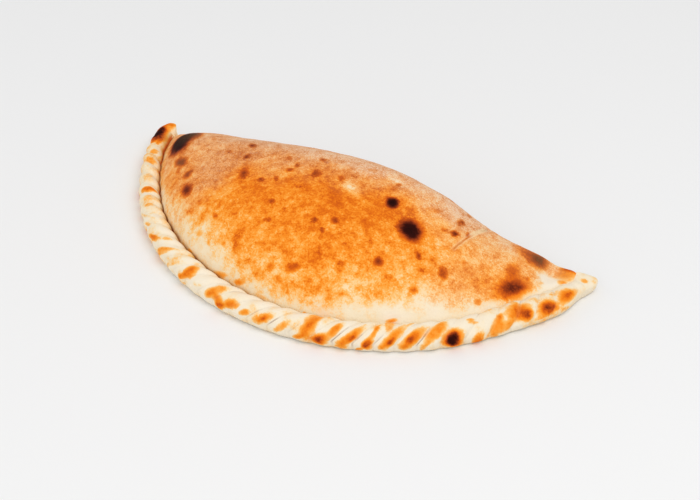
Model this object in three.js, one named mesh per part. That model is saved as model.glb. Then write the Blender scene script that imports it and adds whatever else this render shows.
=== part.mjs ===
// A baked calzone: a round of pizza dough folded in half over its filling, with
// the open edge rolled into a twisted rope that runs round the curved side.
// Units are millimetres, +Z is up, and the calzone rests on the plane z = 0.
// +X runs from the blunt end to the long tail, +Y towards the straight fold.
import * as THREE from "three";

// ---------------------------------------------------------------- plan outline
// Half-moon traced by the outer side of the rope, phi = 0 at the blunt tip and
// pi at the tail:  x = -A cos + E1 sin + E2 sin 2phi,
//                  y = Y0 - B sin - G2 sin 2phi - G3 sin 3phi
const MOON = { A: 142.2, B: 133.8, E1: 3.62, E2: 5.54, G2: -3.31, G3: 1.14, Y0: 5.62 };
const PHI_START = 0.125; // where the rope proper starts, past the rounded stub
const PHI_END = Math.PI - 0.125; // where it runs out into the tail
const FLARE = [2.6, 0, 0.2, 0.9, 0.5, 0.1, 0.2, -0.4, 2.6]; // outward swell along the rope
const NECK = { length: 14, depth: 4.3 }; // it draws in where it runs out into the tail

// ----------------------------------------------------------------------- rope
const ROPE_WIDTH = [11.2, 11.4, 11.7, 11.9, 12.3, 13, 13.8, 14.1, 14.2, 14.6, 15, 14.9, 14.6, 14.4, 15.6, 14.4, 8.8]; // outer side to seam
const ROPE_TOP = [11, 12.8, 12.8, 12.4, 12, 12, 12, 11.5, 9]; // height of its crown
const ROPE_AXIS_Z = 5.2; // height of its widest point
const SEAM_ANGLE = (20 * Math.PI) / 180; // where the seam cuts into the round section
const TWIST = [0, 3.96, 8.5, 12.93, 17.15, 21.2, 25.75, 29.6, 33.2]; // strands counted along it
const STRAND_LEAN = 16; // mm a strand runs along the rope while crossing it
const STRAND_RELIEF = 1.3; // depth of the grooves
const SEAM_WAVE = 0.45; // how far the seam waves with the strands
const STUB_FADE = 0.07; // share of the length over which the twist dies out
const TAIL_FADE = 0.035;

// ------------------------------------------------------------- ends and fold
// Edges of the two ends in plan: the stub from the fold round to the rope, and
// the tail from the rope round to the fold.
const STUB_X = [-127.6, -130.5, -132.7, -134.3, -137.0, -140.2, -142.0, -142.3, -141.8];
const STUB_Y = [-8.6, -7.6, -5.0, -1.4, 0.7, -0.8, -5.0, -8.4, -11.3];
const STUB_TOP = 11.6;
const TAIL_X = [139.0, 139.7, 140.7, 140.6, 138.6, 134.8, 131.6, 129.8, 129.0];
const TAIL_Y = [-12.2, -9.0, -5.4, -2.0, 0.2, 0.7, 0.0, -2.0, -4.2];
const TAIL_TOP = 7.8;
const FOLD_A = [-127.6, -8.6]; // end of the fold at the stub
const FOLD_B = [129.0, -4.2]; // end of the fold at the tail
const FOLD_BOW = 7.0; // how far the fold bows out between them
const FOLD_BELLY = 9.0; // height of the fold's widest point
const FOLD_TUCK = 6.0; // how far its foot tucks in underneath
const FOLD_PLAIN = 0.12; // share of the fold at each end where the foot tucks in less and less
const FLAP_DIP = { x: 118, width: 8, depth: 2.6 }; // hollow before the last flap
const FLAP_END = { x: 128, width: 4, height: -0.3 };

// ----------------------------------------------------------------------- dome
// From the crown each line runs down to the seam as a superellipse. Its two
// powers change with direction, every 22.5 degrees from +X towards +Y.
const CROWN = [2.7, -43.8];
const CROWN_Z = 47.1;
const SPREAD = [1.19, 1.26, 1.08, 0.96, 0.91, 0.89, 0.89, 1.05, 0.93, 0.91, 0.94, 0.95, 1, 1, 1, 1.08];
const FALL = [1.7, 1.85, 1.54, 1.3, 1.27, 1.37, 1.62, 1.84, 1.43, 1.09, 0.99, 1.05, 1.13, 1.19, 1.26, 1.42];
const SOFT_DEG = 16; // corners of the plan are rounded over this much at the crown, less lower down
// broad swells and sinks along the back: x, y, radius x, radius y, height
const SWELLS = [
  [-120, -20, 12, 14, 1.2],
  [-100, -28, 20, 22, 2.9],
  [-70, -22, 22, 22, 0.6],
  [-35, -15, 24, 22, 1.6],
  [0, -12, 24, 22, 2.3],
  [30, -12, 22, 22, 5.2],
  [55, -18, 18, 22, 3.9],
  [75, -20, 14, 22, -1.4],
  [92, -20, 13, 20, -2.1],
  [122, -12, 9, 12, -7.5],
];

// ----------------------------------------------------------------- mesh steps
const STEPS_IN_STRAND = [0, 0.3, 0.62, 0.9]; // groove, two flanks and crest
const STUB_STEPS = 10;
const TAIL_STEPS = 10;
const FOLD_STEPS = 34;
const DOME_ROWS = 12;
const ROPE_ROWS = 10;

const clamp = (x, a, b) => Math.min(b, Math.max(a, x));
const lerp = (a, b, t) => a + (b - a) * t;
const smooth = (x) => {
  const t = clamp(x, 0, 1);
  return t * t * (3 - 2 * t);
};
const cubic = (p0, p1, p2, p3, f) =>
  p1 + 0.5 * f * (p2 - p0 + f * (2 * p0 - 5 * p1 + 4 * p2 - p3 + f * (3 * (p1 - p2) + p3 - p0)));

// smooth curve through equally spaced values, t in 0..1
function along(values, t) {
  const last = values.length - 1;
  const q = clamp(t, 0, 1) * last;
  const i = Math.min(Math.floor(q), last - 1);
  const g = (j) => values[clamp(i + j, 0, last)];
  return cubic(g(-1), g(0), g(1), g(2), q - i);
}

// the same, round a closed turn of 360 degrees
function around(values, degrees) {
  const n = values.length;
  const t = ((((degrees % 360) + 360) % 360) / 360) * n;
  const i = Math.floor(t);
  const g = (j) => values[(i + j + n) % n];
  return cubic(g(-1), g(0), g(1), g(2), t - i);
}

// rise and sharp fall of one strand of the twist
const strand = (phase) => Math.sin(Math.PI * (phase - Math.floor(phase)) ** 1.5) ** 0.8;

// ------------------------------------------------------- the rope's outer line
const FINE = 4000;
const moon = (phi) => [
  -MOON.A * Math.cos(phi) + MOON.E1 * Math.sin(phi) + MOON.E2 * Math.sin(2 * phi),
  MOON.Y0 - MOON.B * Math.sin(phi) - MOON.G2 * Math.sin(2 * phi) - MOON.G3 * Math.sin(3 * phi),
];

function lengths(line) {
  const s = [0];
  for (let i = 1; i < line.length; i++)
    s.push(s[i - 1] + Math.hypot(line[i][0] - line[i - 1][0], line[i][1] - line[i - 1][1]));
  return s;
}

// inward normals, to the left of the direction of travel
function normals(line) {
  return line.map((_, i) => {
    const a = line[Math.max(0, i - 1)];
    const b = line[Math.min(line.length - 1, i + 1)];
    const l = Math.hypot(b[0] - a[0], b[1] - a[1]);
    return [-(b[1] - a[1]) / l, (b[0] - a[0]) / l];
  });
}

let outline = Array.from({ length: FINE + 1 }, (_, i) => moon(lerp(PHI_START, PHI_END, i / FINE)));
{
  const s = lengths(outline);
  const n = normals(outline);
  outline = outline.map((p, i) => {
    const neck = NECK.depth * Math.exp(-(((s[FINE] - s[i]) / NECK.length) ** 2));
    const out = along(FLARE, s[i] / s[FINE]) - neck;
    return [p[0] - n[i][0] * out, p[1] - n[i][1] * out];
  });
}
const run = lengths(outline);
const inward = normals(outline);
const LENGTH = run[FINE];

function onOutline(s) {
  const v = clamp(s, 0, LENGTH);
  let lo = 0;
  let hi = FINE;
  while (hi - lo > 1) {
    const mid = (lo + hi) >> 1;
    if (run[mid] <= v) lo = mid;
    else hi = mid;
  }
  const f = (v - run[lo]) / (run[hi] - run[lo]);
  const n = [lerp(inward[lo][0], inward[hi][0], f), lerp(inward[lo][1], inward[hi][1], f)];
  const l = Math.hypot(n[0], n[1]);
  return {
    p: [lerp(outline[lo][0], outline[hi][0], f), lerp(outline[lo][1], outline[hi][1], f)],
    n: [n[0] / l, n[1] / l],
  };
}

// share of the rope's length at which a given number of strands is reached
function lengthAtTwist(count) {
  let lo = 0;
  let hi = 1;
  for (let i = 0; i < 40; i++) {
    const mid = (lo + hi) / 2;
    if (along(TWIST, mid) < count) lo = mid;
    else hi = mid;
  }
  return (lo + hi) / 2;
}

// ------------------------------------------------------------------- columns
// Each column runs from the seam over the edge and under it to the flat base.
// It also keeps the seam point without its waves, which the dome runs down to.
const columns = [];
const endFade = (t) => smooth(t / STUB_FADE) * smooth((1 - t) / TAIL_FADE);

// Height of the rounded section at an angle: the upper half rises above the
// axis, the lower half comes down to the base.
const footAngle = (tall) => Math.PI + Math.asin(clamp(ROPE_AXIS_Z / tall, 0, 0.8));
const sectionZ = (psi, tall, end) =>
  psi <= Math.PI
    ? ROPE_AXIS_Z + tall * Math.sin(psi)
    : ROPE_AXIS_Z * (1 - Math.sin(psi - Math.PI) / Math.sin(end - Math.PI));

const strands = TWIST[TWIST.length - 1];
for (let k = 0; k < strands; k++)
  for (const f of STEPS_IN_STRAND) if (k + f < strands - 0.15) ropeColumn(k + f);
ropeColumn(strands);

function ropeColumn(phase) {
  const t = lengthAtTwist(phase);
  const fade = endFade(t);
  const width = along(ROPE_WIDTH, t);
  const half = (width + SEAM_WAVE * (strand(phase) - 0.6) * fade) / (1 + Math.cos(SEAM_ANGLE));
  const plainHalf = width / (1 + Math.cos(SEAM_ANGLE));
  const tall = along(ROPE_TOP, t) - ROPE_AXIS_Z;
  const end = footAngle(tall);
  const rows = [];
  for (let i = 0; i <= ROPE_ROWS; i++) {
    const psi = lerp(SEAM_ANGLE, end, i / ROPE_ROWS);
    const cross = clamp((psi - SEAM_ANGLE) / (Math.PI - SEAM_ANGLE), 0, 1);
    const { p, n } = onOutline(t * LENGTH + STRAND_LEAN * (0.5 - cross) * fade);
    const round = Math.sqrt(Math.max(0, Math.sin(((psi - SEAM_ANGLE) / (end - SEAM_ANGLE)) * Math.PI)));
    const relief = STRAND_RELIEF * (strand(phase) - 0.8) * round * fade;
    const d = half + (half + relief) * Math.cos(psi);
    const z = i === ROPE_ROWS ? 0 : sectionZ(psi, tall + relief, end);
    rows.push([p[0] + n[0] * d, p[1] + n[1] * d, z]);
  }
  const { p, n } = onOutline(t * LENGTH + STRAND_LEAN * 0.5 * fade);
  const d = plainHalf * (1 + Math.cos(SEAM_ANGLE));
  columns.push({ rows, foot: [p[0] + n[0] * d, p[1] + n[1] * d] });
}

// A rounded end: the edge turns round the tip while the seam barely moves. Its
// crown rises from the seam's height to the full height where the end is wide.
function tipColumns(edgeX, edgeY, steps, seamFrom, seamTo, zFrom, zTo, wide, top) {
  for (let j = 1; j <= steps; j++) {
    const g = j / (steps + 1);
    const edge = [along(edgeX, g), along(edgeY, g)];
    const seam = [lerp(seamFrom[0], seamTo[0], g), lerp(seamFrom[1], seamTo[1], g)];
    const zSeam = lerp(zFrom, zTo, g);
    const share = smooth(Math.hypot(edge[0] - seam[0], edge[1] - seam[1]) / wide);
    const tall = lerp(zSeam, top, share) - ROPE_AXIS_Z;
    const end = footAngle(tall);
    const zAtSeam = sectionZ(SEAM_ANGLE, tall, end);
    const rows = [];
    for (let i = 0; i <= ROPE_ROWS; i++) {
      const psi = lerp(SEAM_ANGLE, end, i / ROPE_ROWS);
      const f = (Math.cos(SEAM_ANGLE) - Math.cos(psi)) / (Math.cos(SEAM_ANGLE) + 1);
      const z = sectionZ(psi, tall, end) + (zSeam - zAtSeam) * Math.max(0, 1 - (2.2 * i) / ROPE_ROWS) ** 1.5;
      rows.push([lerp(seam[0], edge[0], f), lerp(seam[1], edge[1], f), i === ROPE_ROWS ? 0 : z]);
    }
    columns.push({ rows, foot: seam });
  }
}

const first = columns[0].rows[0];
const last = columns[columns.length - 1].rows[0];
const tailWide = along(ROPE_WIDTH, 1);
const stubWide = 9;
tipColumns(TAIL_X, TAIL_Y, TAIL_STEPS, last, FOLD_B, last[2], FOLD_BELLY + FLAP_END.height, tailWide, TAIL_TOP);

// the fold: a soft roll that bows out a little
const foldPoint = (c) => {
  const s = (c + 1) / 2;
  return [lerp(FOLD_B[0], FOLD_A[0], s), lerp(FOLD_B[1], FOLD_A[1], s) + FOLD_BOW * (1 - Math.abs(c) ** 2.6)];
};
for (let j = 1; j <= FOLD_STEPS; j++) {
  const spot = (i) => {
    const c = -1 + (2 * i) / (FOLD_STEPS + 1);
    return Math.sign(c) * (1 - (1 - Math.abs(c)) ** 1.15);
  };
  const at = (i) => foldPoint(spot(i));
  const tuck = FOLD_TUCK * smooth((1 - Math.abs(spot(j))) / FOLD_PLAIN);
  const p = at(j);
  const a = at(j - 1);
  const b = at(j + 1);
  const l = Math.hypot(b[0] - a[0], b[1] - a[1]);
  const n = [-(b[1] - a[1]) / l, (b[0] - a[0]) / l];
  const belly =
    FOLD_BELLY -
    FLAP_DIP.depth * Math.exp(-(((p[0] - FLAP_DIP.x) / FLAP_DIP.width) ** 2)) +
    FLAP_END.height * Math.exp(-(((p[0] - FLAP_END.x) / FLAP_END.width) ** 2));
  const rows = [];
  for (let i = 0; i <= ROPE_ROWS; i++) {
    const b90 = ((i / ROPE_ROWS) * Math.PI) / 2;
    const d = tuck * (1 - Math.cos(b90));
    rows.push([p[0] + n[0] * d, p[1] + n[1] * d, i === ROPE_ROWS ? 0 : belly * (1 - Math.sin(b90))]);
  }
  columns.push({ rows, foot: p });
}
tipColumns(STUB_X, STUB_Y, STUB_STEPS, FOLD_A, first, FOLD_BELLY, first[2], stubWide, STUB_TOP);

// ---------------------------------------------------------------------- dome
const polar = columns.map(({ foot }) => {
  const dx = foot[0] - CROWN[0];
  const dy = foot[1] - CROWN[1];
  return { dx, dy, r: Math.hypot(dx, dy), deg: (((Math.atan2(dy, dx) * 180) / Math.PI) % 360 + 360) % 360 };
});

// A quantity known at each column, as a table against direction, softened over
// more and more degrees. The dome takes it softest near the crown, so that the
// corners of the plan fade out up the dome.
const TABLE_STEP = 0.5;
const TABLE_SIZE = 360 / TABLE_STEP;
const LEVELS = 32;
function softTables(values) {
  const sorted = polar.map((p, i) => ({ deg: p.deg, v: values[i] })).sort((a, b) => a.deg - b.deg);
  const wrapped = [
    ...sorted.map((p) => ({ deg: p.deg - 360, v: p.v })),
    ...sorted,
    ...sorted.map((p) => ({ deg: p.deg + 360, v: p.v })),
  ];
  const raw = [];
  for (let d = 0, i = 0; d < TABLE_SIZE; d++) {
    while (wrapped[i + 1].deg < d * TABLE_STEP) i++;
    const a = wrapped[i];
    const b = wrapped[i + 1];
    raw.push(b.deg > a.deg ? lerp(a.v, b.v, (d * TABLE_STEP - a.deg) / (b.deg - a.deg)) : a.v);
  }
  const tables = [raw];
  for (let l = 1; l <= LEVELS; l++) {
    const sigma = ((l / LEVELS) * SOFT_DEG) / TABLE_STEP;
    const kernel = [];
    for (let k = -Math.ceil(4 * sigma); k <= 4 * sigma; k++) kernel.push([k, Math.exp(-((k / sigma) ** 2) / 2)]);
    const total = kernel.reduce((sum, [, w]) => sum + w, 0);
    tables.push(
      raw.map((_, d) => kernel.reduce((sum, [k, w]) => sum + w * raw[(d + k + 4 * TABLE_SIZE) % TABLE_SIZE], 0) / total),
    );
  }
  return tables;
}
function soften(tables, deg, rho) {
  const level = clamp((1 - rho) ** 0.7 * LEVELS, 0, LEVELS - 1e-6);
  const l = Math.floor(level);
  const x = deg / TABLE_STEP;
  const i = Math.floor(x) % TABLE_SIZE;
  const pick = (t) => lerp(t[i], t[(i + 1) % TABLE_SIZE], x - Math.floor(x));
  return lerp(pick(tables[l]), pick(tables[l + 1]), level - l);
}
const softRadius = softTables(polar.map((p) => p.r));
const softFoot = softTables(columns.map(({ rows }) => rows[0][2]));

const grid = columns.map(({ rows, foot }, c) => {
  const { dx, dy, r, deg } = polar[c];
  const spread = around(SPREAD, deg);
  const fall = around(FALL, deg);
  const dome = [];
  for (let i = 1; i < DOME_ROWS; i++) {
    const a = ((i / DOME_ROWS) * Math.PI) / 2;
    const rho = Math.sin(a) ** spread;
    const w = smooth((rho - 0.94) / 0.06);
    const reach = (lerp(soften(softRadius, deg, rho), r, w) / r) * rho;
    const zFoot = lerp(soften(softFoot, deg, rho), rows[0][2], w);
    const x = CROWN[0] + dx * reach + (rows[0][0] - foot[0]) * w;
    const y = CROWN[1] + dy * reach + (rows[0][1] - foot[1]) * w;
    let z = zFoot + (CROWN_Z - zFoot) * Math.cos(a) ** fall;
    for (const [sx, sy, rx, ry, h] of SWELLS)
      z += h * Math.exp(-(((x - sx) / rx) ** 2 + ((y - sy) / ry) ** 2)) * smooth((1 - rho) / 0.1);
    dome.push([x, y, z]);
  }
  return [...dome, ...rows];
});
let top = CROWN_Z;
for (const [sx, sy, rx, ry, h] of SWELLS)
  top += h * Math.exp(-(((CROWN[0] - sx) / rx) ** 2 + ((CROWN[1] - sy) / ry) ** 2));

// ---------------------------------------------------------------------- mesh
const rowsPerColumn = grid[0].length;
const points = grid.flat();
const crown = points.push([CROWN[0], CROWN[1], top]) - 1;
const faces = [];
grid.forEach((_, c) => {
  const a = c * rowsPerColumn;
  const b = ((c + 1) % grid.length) * rowsPerColumn;
  faces.push(crown, a, b);
  for (let i = 0; i < rowsPerColumn - 1; i++) {
    faces.push(a + i, a + i + 1, b + i + 1);
    faces.push(a + i, b + i + 1, b + i);
  }
});

// the flat base
const ring = grid.map((column) => column[rowsPerColumn - 1]);
for (const [a, b, c] of THREE.ShapeUtils.triangulateShape(ring.map(([x, y]) => new THREE.Vector2(x, y)), []))
  faces.push(...[c, b, a].map((i) => i * rowsPerColumn + rowsPerColumn - 1));

// the origin is the middle of the footprint, on the base
const box = new THREE.Box3().setFromPoints(points.map((p) => new THREE.Vector3(...p)));
const middle = box.getCenter(new THREE.Vector3());
const geometry = new THREE.BufferGeometry();
geometry.setAttribute(
  "position",
  new THREE.Float32BufferAttribute(points.flatMap(([x, y, z]) => [x - middle.x, y - middle.y, z]), 3),
);
geometry.setIndex(faces);
geometry.computeVertexNormals();

const dough = new THREE.MeshStandardMaterial({ color: 0xe8a860, roughness: 0.75, metalness: 0 });
const calzone = new THREE.Mesh(geometry, dough);
calzone.name = "calzone";

const part = new THREE.Group();
part.add(calzone);

export default part;
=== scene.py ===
"""The looks of the calzone: one baked half-moon of dough, closed by a twisted rope along its curved edge.

Lengths in the shape functions are millimetres, in a frame whose origin lies midway between the two pointed ends.
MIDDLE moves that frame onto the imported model's, and 0.001 makes it metres."""
from math import pi

import bpy
import numpy as np
from mathutils import Matrix, Vector, noise


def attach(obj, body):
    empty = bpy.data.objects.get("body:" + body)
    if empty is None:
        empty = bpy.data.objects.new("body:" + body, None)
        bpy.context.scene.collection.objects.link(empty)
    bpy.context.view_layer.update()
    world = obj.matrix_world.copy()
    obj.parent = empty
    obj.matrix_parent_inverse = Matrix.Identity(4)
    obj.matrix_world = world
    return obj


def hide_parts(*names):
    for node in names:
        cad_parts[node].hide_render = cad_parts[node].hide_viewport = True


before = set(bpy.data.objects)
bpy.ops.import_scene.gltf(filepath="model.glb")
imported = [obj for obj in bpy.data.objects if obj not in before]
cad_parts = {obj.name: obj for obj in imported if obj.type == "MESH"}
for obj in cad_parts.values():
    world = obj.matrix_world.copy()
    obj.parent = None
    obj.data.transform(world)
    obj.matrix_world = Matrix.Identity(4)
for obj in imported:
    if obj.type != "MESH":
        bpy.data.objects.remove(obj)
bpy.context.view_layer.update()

MIDDLE = np.array([-0.7605, -63.3884, 0.0])

# ---------------------------------------------------------------- form of the dough
MOON = dict(A=142.2, B=133.8, E1=3.62, E2=5.54, G2=-3.31, G3=1.14, Y0=5.62)
PHI_START, PHI_END = 0.125, pi - 0.125
FLARE = [2.6, 0, 0.2, 0.9, 0.5, 0.1, 0.2, -0.4, 2.6]
ROPE_WIDTH = [11.2, 11.4, 11.7, 11.9, 12.3, 13.0, 13.8, 14.1, 14.2, 14.6, 15.0, 14.9, 14.6, 14.4, 15.6, 14.4, 8.8]
ROPE_TOP = [11, 12.8, 12.8, 12.4, 12, 12, 12, 11.5, 9]
AXIS_Z = 5.2
SEAM = np.radians(20)
TWIST = [0, 3.96, 8.5, 12.93, 17.15, 21.2, 25.75, 29.6, 33.2]
LEAN, RELIEF, WAVE = 16.0, 1.3, 0.45
FADE_STUB, FADE_TAIL = 0.07, 0.035
NECK = (14.0, 4.3)
STUB_X = [-127.6, -130.5, -132.7, -134.3, -137.0, -140.2, -142.0, -142.3, -141.8]
STUB_Y = [-8.6, -7.6, -5.0, -1.4, 0.7, -0.8, -5.0, -8.4, -11.3]
TAIL_X = [139.0, 139.7, 140.7, 140.6, 138.6, 134.8, 131.6, 129.8, 129.0]
TAIL_Y = [-12.2, -9.0, -5.4, -2.0, 0.2, 0.7, 0.0, -2.0, -4.2]
STUB_TOP, TAIL_TOP = 11.6, 7.8
FOLD_A, FOLD_B = np.array([-127.6, -8.6]), np.array([129.0, -4.2])
BOW, BELLY, TUCK = 7.0, 9.0, 6.0
DIP, LIFT = (118, 8, 2.6), (128, 4, -0.3)
CROWN, CROWN_Z = np.array([2.7, -43.8]), 47.1
SPREAD = [1.19, 1.26, 1.08, .96, .91, .89, .89, 1.05, .93, .91, .94, .95, 1, 1, 1, 1.08]
FALL = [1.7, 1.85, 1.54, 1.3, 1.27, 1.37, 1.62, 1.84, 1.43, 1.09, .99, 1.05, 1.13, 1.19, 1.26, 1.42]
SOFT = 16.0
SWELLS = [(-120, -20, 12, 14, 1.2), (-100, -28, 20, 22, 2.9), (-70, -22, 22, 22, .6), (-35, -15, 24, 22, 1.6),
          (0, -12, 24, 22, 2.3), (30, -12, 22, 22, 5.2), (55, -18, 18, 22, 3.9), (75, -20, 14, 22, -1.4),
          (92, -20, 13, 20, -2.1), (122, -12, 9, 12, -7.5)]


def sm(x):
    x = np.clip(x, 0, 1)
    return x * x * (3 - 2 * x)


def lerp(a, b, t):
    return a + (b - a) * t


def cubic(p0, p1, p2, p3, f):
    return p1 + 0.5 * f * (p2 - p0 + f * (2 * p0 - 5 * p1 + 4 * p2 - p3 + f * (3 * (p1 - p2) + p3 - p0)))


def along(values, t):
    v = np.array(values, float)
    q = np.clip(t, 0, 1) * (len(v) - 1)
    i = np.clip(np.floor(q).astype(int), 0, len(v) - 2)
    g = lambda j: v[np.clip(i + j, 0, len(v) - 1)]
    return cubic(g(-1), g(0), g(1), g(2), q - i)


def around(values, deg):
    v = np.array(values, float)
    n = len(v)
    t = (deg % 360) / 360 * n
    i = np.floor(t).astype(int)
    g = lambda j: v[(i + j) % n]
    return cubic(g(-1), g(0), g(1), g(2), t - i)


def strand(phase):
    return np.sin(pi * (phase - np.floor(phase)) ** 1.5) ** 0.8


def lengths(p):
    return np.concatenate([[0], np.cumsum(np.linalg.norm(np.diff(p, axis=0), axis=1))])


def tangents(p):
    t = np.gradient(p, lengths(p), axis=0)
    return t / np.linalg.norm(t, axis=1)[:, None]


def rope_line():
    f = np.linspace(PHI_START, PHI_END, 8001)
    m = MOON
    c = np.stack([-m['A'] * np.cos(f) + m['E1'] * np.sin(f) + m['E2'] * np.sin(2 * f),
                  m['Y0'] - m['B'] * np.sin(f) - m['G2'] * np.sin(2 * f) - m['G3'] * np.sin(3 * f)], -1)
    s, t = lengths(c), tangents(c)
    out = along(FLARE, s / s[-1]) - NECK[1] * np.exp(-((s[-1] - s) / NECK[0]) ** 2)
    c = c - np.stack([-t[:, 1], t[:, 0]], -1) * out[:, None]
    return c, lengths(c), tangents(c)


LINE, RUN, TAN = rope_line()
LENGTH = RUN[-1]


def on_line(s):
    s = np.clip(s, 0, LENGTH)
    p = np.stack([np.interp(s, RUN, LINE[:, k]) for k in range(2)], -1)
    t = np.stack([np.interp(s, RUN, TAN[:, k]) for k in range(2)], -1)
    t /= np.linalg.norm(t, axis=-1)[..., None]
    return p, np.stack([-t[..., 1], t[..., 0]], -1)


def profile(psi, tall, end):
    """height of the rope's round section: upper half above the axis, lower half down to the foot"""
    up = AXIS_Z + tall * np.sin(psi)
    low = AXIS_Z * (1 - np.sin(np.clip(psi - pi, 0, None)) / np.sin(end - pi))
    return np.where(psi <= pi, up, low)


def foot_angle(tall):
    return pi + np.arcsin(np.clip(AXIS_Z / tall, 0, 0.8))


def build(per=16, n_stub=28, n_tail=28, n_fold=200, n_dome=70, n_rope=24, phis=None):
    phis = np.arange(per) / per if phis is None else np.asarray(phis)
    phase = (np.arange(int(TWIST[-1]) + 1)[:, None] + phis[None]).ravel()
    phase = np.append(phase[phase < TWIST[-1] - 0.04], TWIST[-1])
    fine = np.linspace(0, 1, 4001)
    t = np.interp(phase, along(TWIST, fine), fine)
    fade = sm(t / FADE_STUB) * sm((1 - t) / FADE_TAIL)
    width = along(ROPE_WIDTH, t)
    half = (width + WAVE * (strand(phase) - 0.6) * fade) / (1 + np.cos(SEAM))
    tall = along(ROPE_TOP, t) - AXIS_Z
    end = foot_angle(tall)
    step = np.arange(n_rope + 1) / n_rope
    psi = SEAM + (end - SEAM)[:, None] * step[None]
    cross = np.clip((psi - SEAM) / (pi - SEAM), 0, 1)
    p, n = on_line(t[:, None] * LENGTH + LEAN * (0.5 - cross) * fade[:, None])
    bulge = np.sqrt(np.clip(np.sin((psi - SEAM) / (end[:, None] - SEAM) * pi), 0, 1))
    relief = RELIEF * (strand(phase) - 0.8)[:, None] * bulge * fade[:, None]
    d = half[:, None] + (half[:, None] + relief) * np.cos(psi)
    z = profile(psi, tall[:, None] + relief, end[:, None])
    z[:, -1] = 0
    rope = np.concatenate([p + n * d[..., None], z[..., None]], -1)
    foot = p[:, 0] + n[:, 0] * width[:, None]
    lean_s = t[:, None] * LENGTH + LEAN * (0.5 - cross) * fade[:, None]

    def tip(ex, ey, count, s0, s1, z0, z1, wide, top):
        g = (np.arange(count) + 1) / (count + 1)
        edge = np.stack([along(ex, g), along(ey, g)], -1)
        s, zs = lerp(s0, s1, g[:, None]), lerp(z0, z1, g)
        share = sm(np.linalg.norm(edge - s, axis=1) / wide)
        tl = lerp(zs, top, share) - AXIS_Z
        en = foot_angle(tl)
        ps = SEAM + (en - SEAM)[:, None] * step[None]
        f = (np.cos(SEAM) - np.cos(ps)) / (np.cos(SEAM) + 1)
        zz = profile(ps, tl[:, None], en[:, None])
        zz = zz + (zs - zz[:, 0])[:, None] * np.clip(1 - 2.2 * step, 0, 1)[None] ** 1.5
        zz[:, -1] = 0
        xy = s[:, None] + (edge - s)[:, None] * f[..., None]
        return np.concatenate([xy, zz[..., None]], -1), s

    tail, tail_foot = tip(TAIL_X, TAIL_Y, n_tail, rope[-1, 0, :2], FOLD_B, rope[-1, 0, 2], BELLY + LIFT[2], width[-1], TAIL_TOP)
    stub, stub_foot = tip(STUB_X, STUB_Y, n_stub, FOLD_A, rope[0, 0, :2], BELLY, rope[0, 0, 2], 9.0, STUB_TOP)

    c = np.linspace(-1, 1, n_fold + 2)
    c = np.sign(c) * (1 - (1 - np.abs(c)) ** 1.15)
    s = (c + 1) / 2
    q = FOLD_B + (FOLD_A - FOLD_B) * s[:, None]
    q[:, 1] += BOW * (1 - np.abs(c) ** 2.6)
    tn = tangents(q)[1:-1]
    c, q = c[1:-1], q[1:-1]
    nf = np.stack([-tn[:, 1], tn[:, 0]], -1)
    tuck = TUCK * sm((1 - np.abs(c)) / 0.12)
    belly = BELLY - DIP[2] * np.exp(-((q[:, 0] - DIP[0]) / DIP[1]) ** 2) + LIFT[2] * np.exp(-((q[:, 0] - LIFT[0]) / LIFT[1]) ** 2)
    b = step * pi / 2
    xy = q[:, None] + nf[:, None] * (tuck[:, None] * (1 - np.cos(b))[None])[..., None]
    zf = belly[:, None] * (1 - np.sin(b))[None]
    zf[:, -1] = 0
    fold = np.concatenate([xy, zf[..., None]], -1)

    ring = np.concatenate([rope, tail, fold, stub])
    feet = np.concatenate([foot, tail_foot, q, stub_foot])
    # dome
    v = feet - CROWN
    R = np.linalg.norm(v, axis=1)
    deg = np.degrees(np.arctan2(v[:, 1], v[:, 0])) % 360
    o = np.argsort(deg)
    grid = np.arange(720) / 2
    sig = np.linspace(0, SOFT, 33)

    def table(values):
        F = np.fft.rfft(np.interp(grid, np.concatenate([deg[o] - 360, deg[o], deg[o] + 360]), np.tile(values[o], 3)))
        freq = np.arange(len(F))
        return np.array([np.fft.irfft(F * np.exp(-0.5 * (freq * np.radians(x)) ** 2), 720) for x in sig])

    a = np.linspace(0, pi / 2, n_dome + 1)[1:-1]
    spread, fall = around(SPREAD, deg), around(FALL, deg)
    rho = np.sin(a)[None] ** spread[:, None]
    level = (1 - rho) ** 0.7 * 32
    gi = deg[:, None] * 2
    i0 = np.floor(gi).astype(int) % 720
    fi = gi - np.floor(gi)
    l0 = np.clip(np.floor(level).astype(int), 0, 31)
    fl = level - l0

    def soften(values):
        tab = table(values)
        pick = lambda l: tab[l, i0] * (1 - fi) + tab[l, (i0 + 1) % 720] * fi
        return lerp(pick(l0), pick(l0 + 1), fl)

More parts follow.
